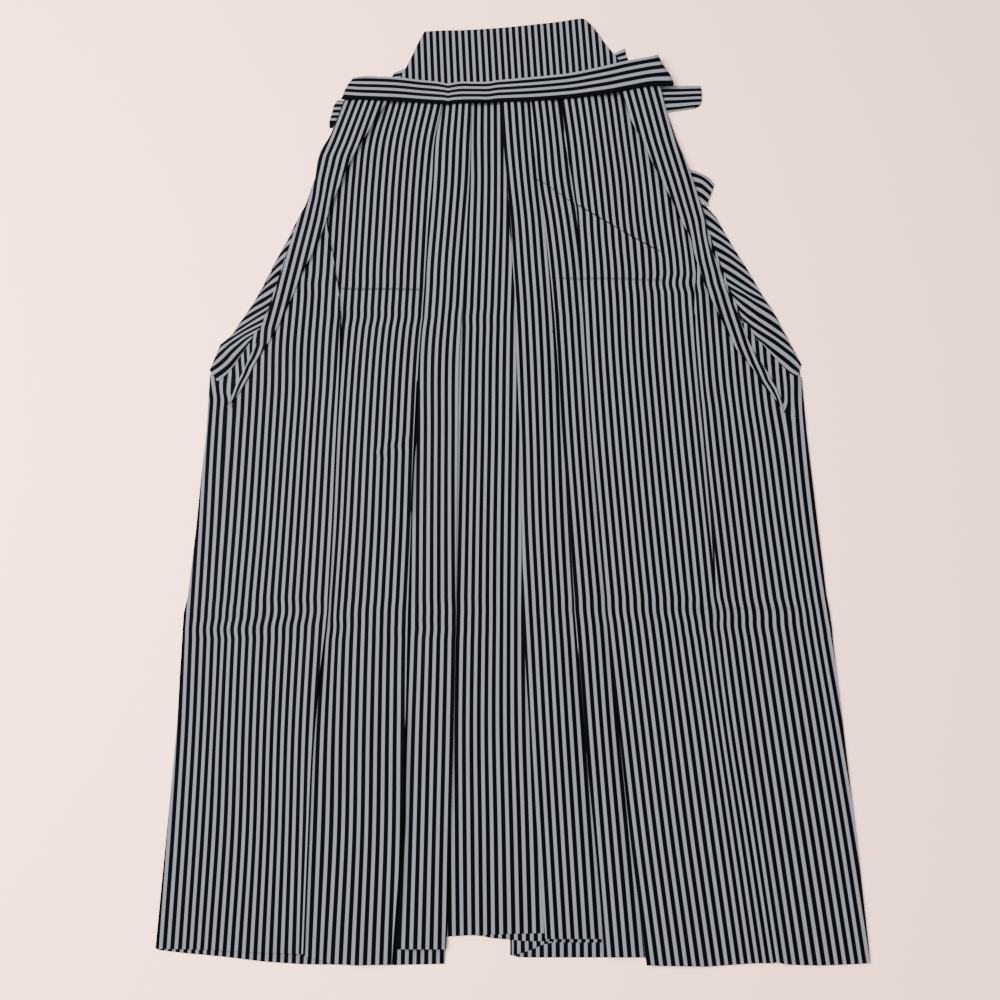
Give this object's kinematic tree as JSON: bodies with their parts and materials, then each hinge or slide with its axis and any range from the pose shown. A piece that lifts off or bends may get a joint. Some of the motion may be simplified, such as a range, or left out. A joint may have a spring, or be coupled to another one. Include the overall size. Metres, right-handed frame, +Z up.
{
  "type": "striped divided hakama trousers, laid flat",
  "caption": "Wide pleated trousers of striped cloth laid flat, with a stiff back board, a front waistband and short folded waist ties.",
  "frame": {"origin": "on the surface that the garment lies on, under the middle of its box (to about 2 mm)", "axes": "+Z up from that surface through the front of the garment, +Y from the hems to the waist, +X to the viewer's right"},
  "size_m": [0.661, 1.0241, 0.0104],
  "materials": {
    "panel_cloth": "fine ribbed silk, black and cool grey stripes, faint sheen",
    "band_cloth": "the same striped silk folded round a stiffener, stripes lengthwise"
  },
  "bodies": {
    "root": {"back_leg_left": "panel_cloth", "back_leg_right": "panel_cloth", "back_side_fold_left": "panel_cloth", "back_side_fold_right": "panel_cloth", "back_board": "panel_cloth", "back_tie_left": "band_cloth", "back_tie_right": "band_cloth", "front_leg_left": "panel_cloth", "front_leg_right": "panel_cloth", "front_side_fold_left": "panel_cloth", "front_side_fold_right": "panel_cloth", "front_band": "band_cloth", "front_tie_left": "band_cloth", "front_tie_right": "band_cloth", "front_tie_loop": "band_cloth"}
  },
  "joints": []
}
